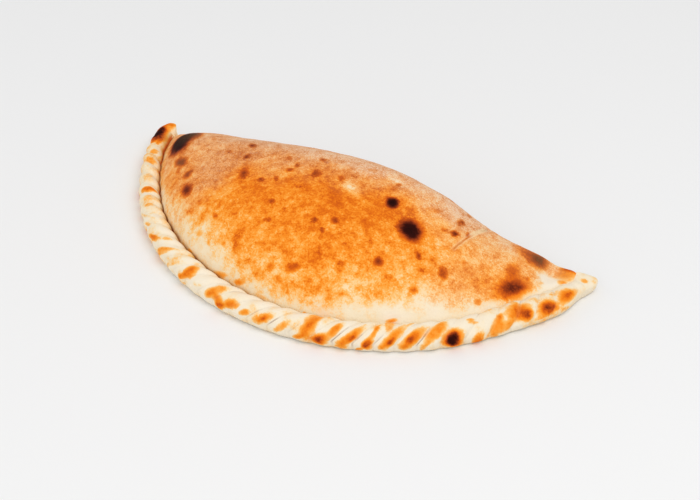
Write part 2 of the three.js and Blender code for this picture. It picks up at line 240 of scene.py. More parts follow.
    soft, foot_z = soften(R), soften(ring[:, 0, 2])
    w = sm((rho - 0.94) / 0.06)
    foot_z = lerp(foot_z, ring[:, :1, 2], w)
    reach = (soft * (1 - w) + R[:, None] * w) / R[:, None] * rho
    xy = CROWN + v[:, None] * reach[..., None] + (ring[:, :1, :2] - feet[:, None]) * w[..., None]
    z = foot_z + (CROWN_Z - foot_z) * np.cos(a)[None] ** fall[:, None]
    for x0, y0, rx, ry, h in SWELLS:
        z = z + h * np.exp(-((xy[..., 0] - x0) / rx) ** 2 - ((xy[..., 1] - y0) / ry) ** 2) * sm((1 - rho) / 0.1)
    top = CROWN_Z + sum(h * np.exp(-((CROWN[0] - x0) / rx) ** 2 - ((CROWN[1] - y0) / ry) ** 2) for x0, y0, rx, ry, h in SWELLS)
    pole = np.broadcast_to(np.array([CROWN[0], CROWN[1], top]), (len(ring), 1, 3))
    dome = np.concatenate([pole, np.concatenate([xy, z[..., None]], -1)], 1)
    G = np.concatenate([dome, ring], 1)
    info = dict(phase=phase, n_col=len(rope), n_dome=n_dome, n_rope=n_rope, n_tail=n_tail, n_fold=n_fold, n_stub=n_stub,
                rope_s=lean_s, cross=cross, t=t, psi=psi, rho=np.concatenate([np.zeros((len(ring), 1)), rho], 1))
    return G, info


def faces_of(G):
    """vertices, quads, crown triangles and the base polygon"""
    nc, nr = G.shape[:2]
    m = nr - 1
    V = np.concatenate([G[:, 1:].reshape(-1, 3), G[:1, 0]])
    top = len(V) - 1
    j = np.arange(nc)
    j2 = (j + 1) % nc
    i = np.arange(m - 1)
    a = (j[:, None] * m + i[None]).ravel()
    b = (j2[:, None] * m + i[None]).ravel()
    quads = np.stack([a, a + 1, b + 1, b], -1)
    tris = np.stack([np.full(nc, top), j * m, j2 * m], -1)
    ngon = (j * m + m - 1)[::-1]
    return V, quads, tris, ngon


# ---------------------------------------------------------------- where the oven has marked it
# Browned spots on the dome: centre x, y, z, half-length, half-width, turn of the length in degrees, strength.
SPOTS = [
    (-109.2, -31, 21.5, 13.5, 7.2, 141, 1.6), (-107, -25.4, 23.6, 11, 6, 134, 1.45),
    (-101.5, -24.4, 26, 8, 3.2, 147, 0.6), (-92.6, -51, 25, 6.4, 3.6, 159, 0.74),
    (-89.5, -58.1, 23.7, 4.3, 2.1, 149, 0.38), (-79.2, -62.8, 28.1, 4.6, 3.5, 134, 0.53),
    (-71.1, -74.7, 27.1, 5.6, 3.7, 147, 0.75), (-60.6, -87.3, 24, 3.3, 1.6, 179, 0.21),
    (-40.3, -90.6, 30.8, 3.1, 1.6, 155, 0.4), (-55.3, -83.9, 29.7, 2.7, 1.6, 163, 0.3),
    (-84.8, -30.9, 32.4, 5.1, 2.4, 136, 0.25), (-54.6, -36, 40.5, 3.7, 2.1, 136, 0.65),
    (-49.7, -48.1, 41.9, 3.2, 2.5, 105, 0.4), (-41.5, -62.4, 41.8, 5.3, 2.6, 119, 0.51), (-42, -62.6, 41.7, 8.4, 4.6, 119, 0.27),
    (-28.4, -65.2, 43.5, 2.3, 1.7, 155, 0.44), (-21.3, -61.2, 45, 2.7, 1.6, 132, 0.39),
    (-25.9, -42.7, 46, 3.6, 2.1, 130, 0.4), (-19, -52.1, 46.2, 2.1, 1.9, 53, 0.56),
    (-17.7, -46.1, 46.7, 2.8, 1.2, 116, 0.48), (-8.9, -35.7, 47.1, 2.3, 1.8, 174, 0.51),
    (-4.2, -48.8, 47.2, 3.4, 3, 89, 0.47), (9.5, -45.9, 47.2, 3.1, 2.1, 122, 0.42),
    (-13.3, -77, 41.8, 2.3, 1.8, 150, 0.48), (-4.8, -78.2, 41.6, 2.1, 1.6, 136, 0.22),
    (-9, -87.3, 37.6, 2.8, 1.6, 15, 0.38), (-6.4, -62.2, 45.7, 4.3, 2.4, 22, 0.3),
    (19, -62.7, 44.7, 2.9, 2.1, 124, 0.18), (14.2, -78.1, 40.9, 2.3, 2.1, 31, 0.32),
    (23.9, -73.6, 41.5, 2.9, 2.4, 128, 0.43), (21.1, -81.3, 39, 1.9, 1.5, 132, 0.4),
    (-21.5, -97.1, 30.2, 3, 2.3, 141, 0.24), (-19.5, -102.6, 25.2, 3.9, 1.8, 106, 0.23),
    (-37, -101.2, 21.1, 1.9, 1.5, 127, 0.35), (-27.1, -101.7, 24.3, 2.1, 1.6, 2, 0.22),
    (-46.2, -97.4, 21.6, 3.3, 2.1, 6, 0.35), (17, -102.2, 26.6, 4.4, 2.5, 38, 0.56),
    (25.5, -91.4, 33.4, 2.3, 2, 140, 0.2), (39, -90.9, 30.8, 2.2, 2, 132, 0.31),
    (-4.4, -98.7, 30.3, 3.4, 1.6, 16, 0.2), (5.8, -105.4, 24.2, 3.1, 2.2, 119, 0.34),
    (-63.4, -45.1, 38.5, 3.2, 1.8, 160, 0.33), (-24.6, -109, 10, 5.6, 1.9, 20, 0.5),
    (-11, -111.6, 11.8, 3.7, 1.6, 22, 0.59), (4.6, -113.3, 9.6, 6.4, 1.3, 2, 0.24),
    (-51, -100.1, 9.4, 3.3, 1.4, 23, 0.55), (40.3, -44.5, 42.5, 3.7, 2.9, 112, 1.12),
    (57.4, -53.9, 36.6, 6.9, 5.8, 129, 1.3), (35.3, -30.1, 44, 1.9, 1.5, 92, 0.48),
    (54.5, -80, 31.3, 2.6, 2.5, 83, 0.74), (36.6, -65.6, 41.1, 2.4, 1.8, 116, 0.12),
    (45.3, -74.2, 36.6, 2.1, 1.8, 113, 0.25), (35.7, -82, 36.3, 1.8, 1.5, 125, 0.25),
    (67.9, -63.6, 30.8, 2.8, 1.9, 140, 0.43), (74.1, -58.8, 28.7, 2.6, 2, 98, 0.23),
    (81.7, -61.8, 24.3, 4, 2.6, 129, 0.62), (73.3, -68.6, 27, 3.2, 2.3, 47, 0.22),
    (69.1, -39.3, 33.1, 2.1, 1.8, 17, 0.34), (73.5, -36.9, 30.9, 2.6, 1.8, 96, 0.88),
    (71.4, -26.2, 30.9, 3.1, 1.7, 99, 0.71), (77.7, -30.2, 28.3, 1.8, 1.1, 98, 0.55),
    (60.1, -32.4, 37.5, 3.2, 1.9, 69, 0.37), (75.3, -79.3, 21.5, 2.6, 2.2, 39, 0.4),
    (86, -48.1, 24.3, 2, 1.5, 96, 0.27), (69.1, -14.3, 27.9, 3, 1.6, 106, 0.46),
    (25.7, -19.9, 43.7, 2.6, 1.6, 123, 0.1), (18.7, -29.1, 46.5, 3.8, 2.1, 11, 0.33),
    (14, -40.6, 46.9, 3.3, 2.7, 61, 0.19), (35.1, -36.2, 44.1, 5, 1.9, 60, 0.17),
    (110.2, -38.9, 12.3, 10.6, 6.2, 55, 0.6), (110.4, -38.8, 12.3, 8.6, 4.6, 52, 0.72),
    (106.6, -48, 12, 5.6, 3, 58, 0.24), (107.6, -34.6, 14.9, 2.6, 1.9, 112, 0.2), (106.4, -32.6, 15.9, 7.6, 4.2, 112, 0.5),
    (110.6, -11.2, 13.1, 6.6, 4.8, 100, 0.84), (106, -12, 15.2, 11.5, 7.6, 165, 0.45),
    (113.2, -28.4, 12.6, 2.1, 1.5, 89, 0.48), (101.4, -59.4, 12.2, 2.3, 1.8, 54, 0.45),
    (125.4, -8.6, 8.6, 6, 4, 30, 0.64), (126.1, -14.4, 7.4, 2.6, 1.6, 25, 0.59), (125.2, -5.4, 9.3, 5.4, 1.7, 8, 1),
    (128.3, -10.3, 7.5, 1.2, 0.9, 68, 0.48), (118.6, -24, 9.6, 2.1, 1.3, 77, 0.25),
    (71.3, -94.4, 9.7, 2.8, 1.1, 24, 0.69), (30.1, -111.3, 8.5, 1.3, 0.9, 42, 0.46),
]
# Fainter blotches among them, as above.
BLOTCHES = [
    (10.1, -111.8, 14.5, 1.9, 1.2, 35, 0.28), (10.9, -107.8, 21.1, 2.3, 1.5, 17, 0.2),
    (19.1, -110.4, 16.2, 1.1, 0.9, 20, 0.25), (27.4, -110.1, 13.7, 1.3, 1, 24, 0.34),
    (21.4, -107.3, 20.3, 2.6, 1.8, 35, 0.2), (28.3, -103.3, 23.4, 2.2, 1.8, 16, 0.26),
    (40.1, -104.8, 17.5, 3.2, 1.8, 107, 0.36), (45.3, -100.5, 20.6, 2.1, 1.3, 50, 0.28),
    (57, -95.3, 20.2, 1.9, 1.5, 22, 0.28), (61.8, -91.7, 20.8, 1.8, 1.8, 106, 0.36),
    (62.7, -82.5, 26.5, 2.2, 1.7, 57, 0.32), (73.4, -69.1, 26.8, 2.4, 1.7, 5, 0.34),
    (-3.3, -110.9, 15.4, 1.7, 1.2, 23, 0.2), (3.7, -112.5, 11.9, 1.8, 1, 24, 0.16),
    (33.8, -104.5, 20.5, 1.5, 1.1, 19, 0.18), (47.8, -91.6, 27.4, 1.6, 1.3, 24, 0.18),
    (-38.8, -97.5, 25.2, 4.7, 2.8, 93, 0.22), (-20, -100.3, 27.6, 6.1, 2.7, 106, 0.28),
    (-19, -103.9, 23.8, 2.7, 1.7, 12, 0.2), (-9.7, -105.9, 22.9, 3.9, 1.9, 16, 0.16),
    (-48.6, -91.7, 26.6, 2.8, 2.6, 78, 0.2), (0.3, -109.2, 19.1, 4.1, 2.4, 18, 0.2),
    (-59.3, -87.6, 24.6, 3.4, 2.2, 15, 0.26), (-85.7, -65.2, 22.7, 4.3, 3, 117, 0.16),
    (-95.5, -58.4, 18.6, 3.4, 2.8, 148, 0.14), (25.2, -106.7, 20.2, 4.8, 2.9, 19, 0.2),
    (27.3, -92.5, 32.4, 4.9, 3.7, 18, 0.2), (16.5, -110.5, 16.2, 3.3, 2.1, 20, 0.18),
    (72.2, -71.7, 26.5, 4.4, 3.4, 46, 0.2), (74.2, -58.8, 28.7, 2.5, 1.9, 64, 0.2),
    (65.6, -72.2, 29.6, 2.6, 1.9, 43, 0.16), (97.5, -51.8, 17.2, 5, 2.6, 66, 0.16),
    (93.5, -54, 19.2, 3.5, 2.2, 52, 0.16), (84.5, -67.6, 21.1, 4.5, 2.4, 42, 0.12),
    (75.5, -79.5, 21.2, 2.9, 2.6, 45, 0.28), (-25.4, -75, 41.4, 4.9, 3.5, 172, 0.12),
    (-5, -60.3, 46, 5.8, 5, 179, 0.14), (18.6, -63.8, 44.5, 4.9, 3, 124, 0.18), (36, -65.9, 41.2, 2.9, 2.6, 92, 0.14),
    (52, -42.5, 39.7, 3.7, 2.8, 56, 0.18), (57.9, -32.7, 38.5, 3.5, 2.5, 87, 0.18),
    (67.9, -63.7, 30.7, 5.5, 2.8, 119, 0.16), (73.7, -59.7, 28.8, 2.7, 2.1, 98, 0.22),
]
# Spots on the side that faces away, as above.
BEHIND = [
    (-97.3, -8.9, 17.8, 9, 5, 20, 1), (-60.4, -8.2, 22, 4, 2.5, 160, 0.5), (-34.7, -10, 30, 3.4, 2.4, 30, 0.6),
    (-12.4, -2.2, 19.8, 5, 3, 150, 0.45), (9.8, -7.4, 33, 3, 2.2, 20, 0.5), (23.8, -0.9, 17.8, 4.5, 2.6, 160, 0.62),
    (44.2, -6, 28, 6, 4, 30, 1), (51.7, -1, 15.1, 3, 2, 0, 0.4), (70.1, -5.9, 19.8, 4, 2.4, 150, 0.55),
    (88, -2.8, 12.2, 5, 3, 20, 0.8), (-80.2, -3.4, 10.1, 4, 2, 170, 0.45), (-45.1, -1.6, 11.9, 5, 2.6, 10, 0.5),
    (-22.2, 0.1, 9.1, 3, 1.8, 170, 0.4), (3.5, 0.5, 10.8, 4, 2, 20, 0.5), (34.5, 1, 9.1, 4, 2, 170, 0.4),
    (75.4, 0.1, 9.2, 3, 1.6, 10, 0.5), (-67.9, -18, 31, 3, 2, 40, 0.4), (27.9, -11.6, 37.7, 2.6, 2, 0, 0.45),
    (-4.1, -15.1, 40.1, 2.6, 2, 90, 0.35), (104.4, -1.7, 8.9, 4, 2.4, 20, 0.6), (-105.9, -5.9, 9.8, 5, 3, 10, 0.7),
    (-50.1, -16.9, 33.8, 2.2, 1.6, 0, 0.35), (58, -14, 33.2, 2.4, 1.8, 60, 0.4), (-86, -13.9, 24.8, 3, 2, 30, 0.4),
    (13.8, -2.5, 24.1, 2.2, 1.6, 0, 0.3),
]
# Browned spots on the rope: place along it (strand number times 11.8), place across it (0 at the seam, 18 at the outer limb),
# half-length, half-width, turn, strength.
PATCHES = [
    (183.9, 12.9, 4, 3.6, 73, 0.58), (183.9, 14.7, 3, 2.1, 42, 0.64), (190.8, 15.9, 5.4, 1.8, 16, 0.73),
    (194.2, 18.3, 3.07, 1.89, 158, 0.94), (198.6, 14.7, 3.9, 2.5, 13, 0.69), (198.1, 14.7, 2.1, 1.3, 15, 0.65),
    (208.5, 15.4, 2.4, 1.8, 3, 0.65), (183.9, 9.4, 2.8, 1.2, 24, 0.18), (218.8, 14.8, 3.6, 3.2, 138, 0.54),
    (219.3, 14.8, 1.8, 1.7, 143, 0.64), (230.6, 15.4, 3, 2.4, 70, 0.49), (229.6, 18.3, 2.3, 1.3, 137, 0.47),
    (239.9, 10, 9.2, 2.95, 52, 0.71), (240.9, 11.8, 2.95, 1.42, 50, 0.7), (241.9, 18.3, 3.9, 1.4, 144, 0.69),
    (252.7, 17.7, 4.25, 3.07, 0, 1.05), (252.2, 17.7, 2.36, 1.77, 1, 0.78), (255.7, 12.4, 4.8, 2.6, 76, 0.59),
    (255.7, 10.6, 2.7, 1.3, 42, 0.23), (266.6, 15.3, 6.37, 3.7, 106, 0.75), (268.4, 14.7, 2.48, 2.0, 63, 0.84),
    (264, 19.5, 3.4, 1.3, 147, 0.39), (279.3, 17.1, 3.89, 2.24, 46, 1.1), (277.8, 11.2, 4.5, 1.6, 65, 0.59),
    (276.3, 20.6, 3.7, 1.2, 150, 0.69), (290.1, 13.6, 6.02, 3.78, 94, 0.7), (291.1, 15.3, 2.71, 1.77, 35, 0.99),
    (288.6, 18.3, 2.8, 1.5, 149, 0.6), (301.4, 14.2, 5.55, 4.25, 116, 0.8), (300.4, 14.2, 2.48, 2.12, 36, 0.93),
    (300.4, 18.3, 2.2, 1.5, 153, 0.59), (280.2, 3.5, 10, 2, 58, 0.47), (277.8, 4.7, 6.3, 0.9, 45, 0.44),
    (310.7, 18.9, 4.7, 1.2, 117, 0.47), (293, 4.7, 3.9, 1.3, 88, 0.35), (311.7, 11.2, 5.19, 4.6, 100, 0.7),
    (310.7, 17.7, 3.7, 1.7, 137, 0.38), (323.5, 16.6, 6.37, 3.66, 38, 1.02), (323, 16.6, 4.72, 2.6, 38, 1.6),
    (325.5, 13.6, 1.3, 1.2, 54, 0.4), (327.5, 8.3, 2.4, 0.9, 9, 0.45), (329.4, 10.1, 3.3, 1, 15, 0.41),
    (336.8, 19.7, 4.4, 2.6, 87, 0.68), (344.2, 15, 5.3, 3.1, 76, 0.6), (344.2, 10.8, 2.1, 1.3, 56, 0.61),
    (342.7, 19.2, 2.1, 2, 20, 0.34), (351.1, 15.6, 3.8, 2.6, 66, 0.59), (354.5, 10.8, 7.55, 4.01, 19, 0.8),
    (358.9, 13.2, 5.43, 2.12, 30, 0.96), (360.9, 12.6, 2.7, 1.2, 23, 0.63), (373.2, 13.8, 7.2, 3.19, 25, 0.93),
    (372.7, 13.2, 5.4, 2.5, 27, 1.06), (370.2, 17.4, 3.8, 1.6, 172, 0.3), (384, 11.4, 5, 3.4, 36, 0.82),
    (385, 11.4, 2.4, 1.6, 22, 0.72), (385.5, 19.2, 3.7, 1.7, 38, 0.3), (374.7, 7.2, 1.2, 0.9, 174, 0.42),
    (377.6, 6, 4.4, 2.1, 174, 0.34), (67.9, 9.1, 5.55, 1.65, 63, 0.79), (69.3, 8, 3.9, 1.1, 59, 0.28),
    (34.4, 8.1, 4, 2.7, 54, 0.46), (22.1, 7.7, 3.7, 1.6, 41, 0.48), (52.6, 8.5, 5.5, 2.5, 29, 0.27),
    (80.6, 10.2, 3.3, 1.5, 73, 0.22), (87, 10.3, 3.5, 2.3, 33, 0.37), (96.9, 14.8, 7.8, 1.5, 139, 0.29),
    (105.7, 14.9, 2.4, 1.7, 146, 0.37), (120, 15.5, 4.9, 1.9, 153, 0.73), (125.4, 9.2, 2.1, 1.8, 112, 0.43),
    (134.2, 13.8, 5.7, 2, 129, 0.57), (136.2, 16.2, 3.9, 1.5, 124, 0.43), (147, 13.9, 7.2, 2.6, 153, 0.26),
    (148, 16.8, 4, 1.6, 132, 0.34), (160.8, 11.6, 5.07, 2.36, 37, 0.82), (161.8, 15.7, 2.8, 2.1, 138, 0.64),
    (164.7, 19.8, 4.1, 1, 144, 0.3), (174.1, 14.6, 3, 1.2, 175, 0.27), (18.2, 1.2, 6.3, 0.9, 24, 0.38),
    (141.1, 5.8, 4.1, 1.8, 62, 0.22), (153.9, 5.2, 3.3, 2.5, 37, 0.27), (6.6, 6.4, 5.4, 1.6, 8, 0.85),
    (0, 6.6, 1.6, 1.5, 58, 0.08), (347.4, 16.2, 3.6, 2.6, 66, 0.5), (345.6, 20.2, 2.6, 2, 60, 0.42),
    (364.6, 7.4, 8, 1.9, 6, 0.27), (343.5, 11.2, 2.5, 1.6, 60, 0.68),
]
# Where a strand's lay shows as a dark line between painted highlights: strand number, from and to across the rope (as
# above), strength.
LAYS = [(13, 3, 8, 0.35), (14, 4, 11, 0.3), (16, 3, 9, 0.4), (18, 10, 16, 0.35), (19, 12, 17, 0.9), (21, 2, 7, 0.35), (22, 8, 19, 0.95),
        (23, 12, 20, 0.85), (24, 13, 19, 0.8), (25, 2, 7, 0.35), (26, 9.5, 18.5, 1.0), (28, 2, 6, 0.4), (30, 3, 8, 0.5), (32, 1, 6, 0.6)]
# Marks on the two ends of the rope, as on the dome.
ENDS = [
    (-137.1, -14.4, 10.8, 7.8, 3.8, 99, 1.7), (-137.2, -5.6, 11.2, 4.4, 2.6, 75, 0.47), (-135.2, -4.8, 11.6, 3.4, 2, 15, 0.66), (-134.3, -7.4, 11.3, 3.6, 2.3, 100, 0.5),
    (-133.8, -17.6, 11, 4.6, 3.2, 62, 1.05), (-131.6, -19.6, 11, 5.4, 2.6, 55, 0.7),
    (-133.4, -21.2, 11.2, 4.6, 2.6, 62, 0.92), (-139, -3.2, 10.2, 2.6, 1.4, 30, 0.8),
    (135.3, -7.8, 7.9, 2.3, 2, 30, 0.48), (139.6, -4.5, 6.6, 2.2, 1.6, 20, 0.26), (133, -2.6, 7.6, 3, 1.6, 10, 0.18),
]
# Soft swings of the browning over the dome; some are painted light and shade, lightening patches that the lamps leave
# dark and darkening patches that lie in shadow: x, y, reach in x, reach in y, amount.
WARMTH_AND_PAINTED_LIGHT = [
    (18, -58, 44, 22, .23), (30, -50, 22, 10, .06), (-20, -66, 20, 12, .02), (17.2, -49.6, 5.8, 3.8, -.56), (32.8, -28.2, 3, 2, -.36), (-19, -40, 26, 9, -.05),
    (117.3, -17.2, 6, 5, -.4), (-40, -62, 30, 24, .12), (5, -90, 45, 12, .13), (40, -80, 14, 8, .16), (44, -48, 9, 9, .26),
    (-72, -72, 12, 8, .05), (110, -42, 12, 10, .08), (95, -27, 6, 6, .07), (-40, -50, 9, 7, .07), (22, -28, 14, 8, -.16), (94, -48, 10, 10, .16), (106, -14, 8, 8, .15),
    (-20, -24, 60, 10, -.12), (58, -64, 16, 10, .08), (-52, -48, 8, 6, .14), (48, -97, 9, 5, -.16), (60, -96, 8, 6, .16),
    (34, -34, 6, 6, .14), (14, -80, 20, 8, .06), (10, -98, 10, 6, .10), (26, -98, 8, 5, .14), (46, -102, 8, 5, .12), (70, -36, 8, 10, .14),
    (58, -98, 14, 5, -.05), (26, -104, 8, 4, -.12), (-38, -92, 9, 7, -.07), (34, -88, 5, 4, -.09), (82, -24, 6, 5, .09), (76, -64, 8, 5, .08),
    (106, -16, 5, 5, .07), (10, -88, 6, 5, .07), (10, -52, 6, 6, .05), (70, -73, 5, 4, -.06), (84, -97, 8, 5, -.05), (74, -57, 4, 4, -.07),
    (82, -78, 12, 6, -.10), (-86, -74, 8, 6, -.12), (-30, -52, 14, 8, -.12), (20, -62, 10, 10, .05), (-74, -60, 10, 10, .05),
    (-98, -30, 10, 8, -.06), (-76, -38, 20, 10, .05), (70, -72, 5, 5, -.10), (70, -52, 6, 7, -.09), (-36, -98, 8, 5, -.06), (-13, -108, 8, 4, .12), (-76, -79, 8, 5, .09), (-52, -93, 20, 8, .06), (-33, -101, 6, 4, .10), (4, -103, 10, 5, -.14), (12, -104, 8, 5, -.10), (20, -90, 7, 6, -.08), (-38, -96, 6, 4, -.14), (76, -55, 5, 5, -.08), (68, -80, 5, 5, -.09),
    (16, -92, 9, 6, -.09), (70, -95, 5, 5, -.08), (58, -77, 6, 7, .10), (46, -64, 5, 5, .08), (88, -60, 8, 6, .07), (94, -70, 6, 5, .06),
    (-45, -54, 8, 6, .07), (40, -32, 8, 5, .08), (117, -7, 5, 4, .10), (58, -26, 8, 8, -.10), (94, -17, 7, 6, -.07), (30, -56, 8, 6, -.06), (-4, -64, 6, 5, -.07),
    (-2, -79, 6, 5, .06), (88, -76, 5, 5, .10), (93, -70, 5, 5, .06), (81, -84, 4, 4, .08),
]
# Top of the pale band round the foot of the dome: direction from the crown in degrees, height above the seam along the surface.
PALE = [(14, 9), (40, 12), (60, 15), (75, 16), (90, 15), (105, 14), (120, 13), (150, 8), (170, 3), (186, 2), (191, 5), (197, 8.5), (205, 13),
        (217, 17.5), (227, 20), (235, 21), (244, 18), (254, 13), (263, 11), (276, 8), (285, 6), (294, 8), (302, 9), (310, 13),
        (318, 14), (325, 13), (331, 12), (338, 12), (344, 11), (349, 8.5), (354, 4), (359, 2), (366, 4)]
# Front edge of the rosier, less orange crust: x, y.
ROSY = [(-130, -50), (-100, -70), (-84, -78), (-67, -84), (-52, -80), (-47, -69), (-42, -63), (-29, -60), (-18, -57), (-9, -53),
        (3, -50), (14, -47), (23, -43), (34, -37), (44, -36), (59, -38), (72, -39), (81, -36), (90, -32), (100, -26), (130, -18)]

# ---------------------------------------------------------------- the mesh
G, info = build(per=16, n_stub=28, n_tail=28, n_fold=200, n_dome=92, n_rope=26)
n_dome, n_col = info['n_dome'], info['n_col']
nc, nr = G.shape[:2]


def grid_normals(G):
    du = np.roll(G, -1, 0) - np.roll(G, 1, 0)
    dv = np.gradient(G, axis=1)
    n = np.cross(dv, du)
    n /= np.linalg.norm(n, axis=-1)[..., None] + 1e-12
    n[:, 0] = (0, 0, 1)
    return n if n[nc // 3, 20, 2] > 0 else -n


def lumps(P, size, seed=0.0):
    """smooth noise from -1 to 1 with lumps of about this size, at points in millimetres"""
    shift = Vector((seed * 17.31, seed * -9.7, seed * 5.23))
    flat = P.reshape(-1, 3) / size
    return np.array([noise.noise(Vector(p) + shift) for p in flat]).reshape(P.shape[:-1])


def near(P, at, reach):
    return np.exp(-((P - np.array(at, float)) ** 2).sum(-1) / reach ** 2)


# the corners where the rope meets the fold are softened
soft = np.maximum(near(G[..., :2], (-129.5, -9), 6.0), near(G[..., :2], (129.3, -4.6), 4.0))
soft = np.maximum(soft, 0.4 * near(G[..., :2], (136.5, -1.5), 9))[..., None]
for _ in range(12):
    mean = (np.roll(G, 1, 0) + np.roll(G, -1, 0))[:, 1:-1] / 4 + (G[:, :-2] + G[:, 2:]) / 4
    G[:, 1:-1] += (mean - G[:, 1:-1]) * soft[:, 1:-1] * 0.5

smooth = G.copy()
N = grid_normals(G)
step_up = np.linalg.norm(np.diff(G[:, :n_dome + 1], axis=1), axis=-1)
up = np.zeros((nc, nr))
up[:, :n_dome + 1] = step_up.sum(1)[:, None] - np.concatenate([np.zeros((nc, 1)), np.cumsum(step_up, 1)], 1)
X, Y, Z = G[..., 0], G[..., 1], G[..., 2]
on_dome = np.arange(nr)[None] <= n_dome
on_rope = np.zeros((nc, nr), bool)
on_rope[:n_col, n_dome:] = True
phase = np.zeros(nc)
phase[:n_col] = info['phase']
k = np.arange(nc) - n_col - info['n_tail']
fold = sm(k / 14) * sm((info['n_fold'] - k) / 14)
crust = np.maximum(on_dome, fold[:, None])

lump22, lump9, lump4, lump2 = lumps(G, 22), lumps(G, 9, 1), lumps(G, 4.2, 2), lumps(G, 2.1, 3)


# ---------------------------------------------------------------- browning
def spot_field(P, N, spots, crisp):
    """the browning that these spots leave: a rounded plateau each, joined without a seam"""
    total = np.zeros(P.shape[:-1])
    wander = 0.16 * lump4 + 0.05 * lump2
    for x, y, z, a, b, turn, amount in spots:
        d = P - np.array([x, y, z])
        close = np.abs(d).max(-1) < 2.6 * a + 3
        if not close.any():
            continue
        k = np.unravel_index(np.argmin((d ** 2).sum(-1)), close.shape)
        n = N[k]
        t1 = np.array([1.0, 0, 0]) - n * n[0]
        t1 /= np.linalg.norm(t1)
        t2 = np.cross(n, t1)
        c, s = np.cos(np.radians(turn)), np.sin(np.radians(turn))
        q = d[close]
        u, v, w = q @ (t1 * c + t2 * s), q @ (t2 * c - t1 * s), q @ n
        r = np.sqrt((u / a) ** 2 + (v / b) ** 2) + wander[close] * (0.7 + 0.3 * amount)
        f = np.exp(-np.clip(r, 0, None) ** crisp * 0.9) * np.exp(-(w / 5) ** 2)
        total[close] += (f * amount) ** 3
    return np.cbrt(total)


burn = crust * spot_field(G, N, SPOTS + BEHIND, 2.4)
burn += (1 - crust) * spot_field(G, N, ENDS, 2.6)

psi = np.zeros((nc, nr))
psi[:n_col, n_dome:] = info['psi']
U, Vv = phase[:, None] * 11.8 + 0 * X, (psi - SEAM) / (pi - SEAM) * 18
field = np.zeros((nc, nr))
for u0, v0, a, b, turn, amount in PATCHES:
    c, s = np.cos(np.radians(turn)), np.sin(np.radians(turn))
    du, dv = U - u0, Vv - v0
    wide = 1.18 - 0.11 * min(max((u0 - 240) / 20, 0), 1)
    r = np.sqrt(((du * c + dv * s) / (wide * a)) ** 2 + ((dv * c - du * s) / (wide * b)) ** 2) + 0.14 * lump4 + 0.06 * lump2
    f = np.exp(-1.1 * (0.93 * np.clip(r, 0, None)) ** 2.8)
    field += np.where(on_rope, (f * amount) ** 3, 0)
burn = np.maximum(burn, np.cbrt(field))

# pale foot, warm middle
deg = np.degrees(np.arctan2(Y - CROWN[1], X - CROWN[0])) % 360
pd, ph = np.array(PALE, float).T
edge = np.interp(deg, np.concatenate([pd - 360, pd, pd + 360]), np.tile(ph, 3))
ragged = 5.0 * lump9 + 2.6 * lump4 + 3.0 * lump22
blur = np.clip(1.6 * edge, 8, 25)
heat = 0.14 - 0.09 * sm((X - 25) / 35) + 0.44 * sm((up - edge + ragged * blur / 23) / blur + 0.5)
# browning swings, some of them painted light and shade
for x0, y0, rx, ry, amount in WARMTH_AND_PAINTED_LIGHT:
    heat += amount * np.exp(-((X - x0) / rx) ** 2 - ((Y - y0) / ry) ** 2) * crust
heat += 0.16 * fold[:, None] * np.exp(-(Z / 3.5) ** 2) * np.clip(0.5 + 1.2 * lump9 + 0.6 * lump22, 0, 1.5)
heat = lerp(0.05, heat + spot_field(G, N, BLOTCHES, 2.2), crust)
heat = np.where(on_rope, 0.03 + 0.10 * sm((10 - phase[:, None]) / 6) + 0.035 * sm((phase[:, None] - 26) / 3) + 0.27 * np.clip(0.9 * lump9 + 0.5 * lump4 + 0.1, 0, 1), heat)
heat += on_rope * (1 - crust) * sm((15 - phase[:, None]) / 6) * sm((phase[:, None] - 0.3) / 1.6) * np.exp(-((Z - 1.5) / 2.8) ** 2) * np.clip(0.30 + 0.5 * lump9 + 0.3 * lump4, 0, 0.6)
heat += ~on_rope * (1 - crust) * sm((-X - 126) / 4) * (0.10 + 0.27 * np.clip(0.9 * lump9 + 0.5 * lump4 + 0.1, 0, 1))
heat += (1 - crust) * near(G, (138, -5, 6), 8) * (0.06 + 0.12 * np.clip(lump4 + 0.4 * lump9, -0.3, 1))
heat = np.clip(heat, 0, 1)

rx, ry = np.array(ROSY, float).T
rosy = sm((Y - np.interp(X, rx, ry) + 8 * lump9 + 5 * lump4 + 16) / 42) * crust
rosy *= 1 - 0.35 * sm((X - 74) / 12)
rosy *= 1 - 0.25 * sm((-60 - X) / 30)
rosy *= 1 - 0.4 * near(G[..., :2], (-92, -66), 18)
rosy *= 1 - 0.55 * near(G[..., :2], (-42, -62.6), 9)
rosy *= 1 - 0.5 * near(G[..., :2], (-4.1, -49.4), 7)
rosy = np.maximum(rosy, 0.32 * sm((X - 70) / 20) * (1 - 0.6 * near(G, (109, -41, 12), 12)) * crust)
rosy *= np.maximum(sm(up / 10), 0.5 * fold[:, None]) * (1 + 0.4 * sm((Y + 42) / 14))

rows = np.abs(np.arange(nr) - n_dome)[None]
left = np.where(np.arange(nc) < n_col, sm((20 - phase) / 9), 0)
from_seam = np.concatenate([np.zeros((nc, 1)), np.cumsum(np.linalg.norm(np.diff(G[:, n_dome:], axis=1), axis=-1), 1)], 1)
from_seam = np.concatenate([up[:, :n_dome], from_seam], 1)
side = np.where(on_dome, 1.0, 0.55)
# painted shade: a dark brown core and a tan band along the groove between rope and dome on the left, where its shadow
# falls, and a faint dark line along the rest of the rope's seam
gap_shade = left[:, None] * (0.5 * np.exp(-(from_seam / (3.2 * side)) ** 2) + 0.7 * np.exp(-(from_seam / np.where(on_dome, 0.7, 4.1)) ** 2))
gap_shade *= np.clip(0.85 + 0.5 * lump9 + 0.25 * lump4, 0.3, 1.3)
gap_shade += 0.16 * (1 - left[:, None]) * np.exp(-(from_seam / 1.2) ** 2) * (np.arange(nc) < n_col)[:, None]
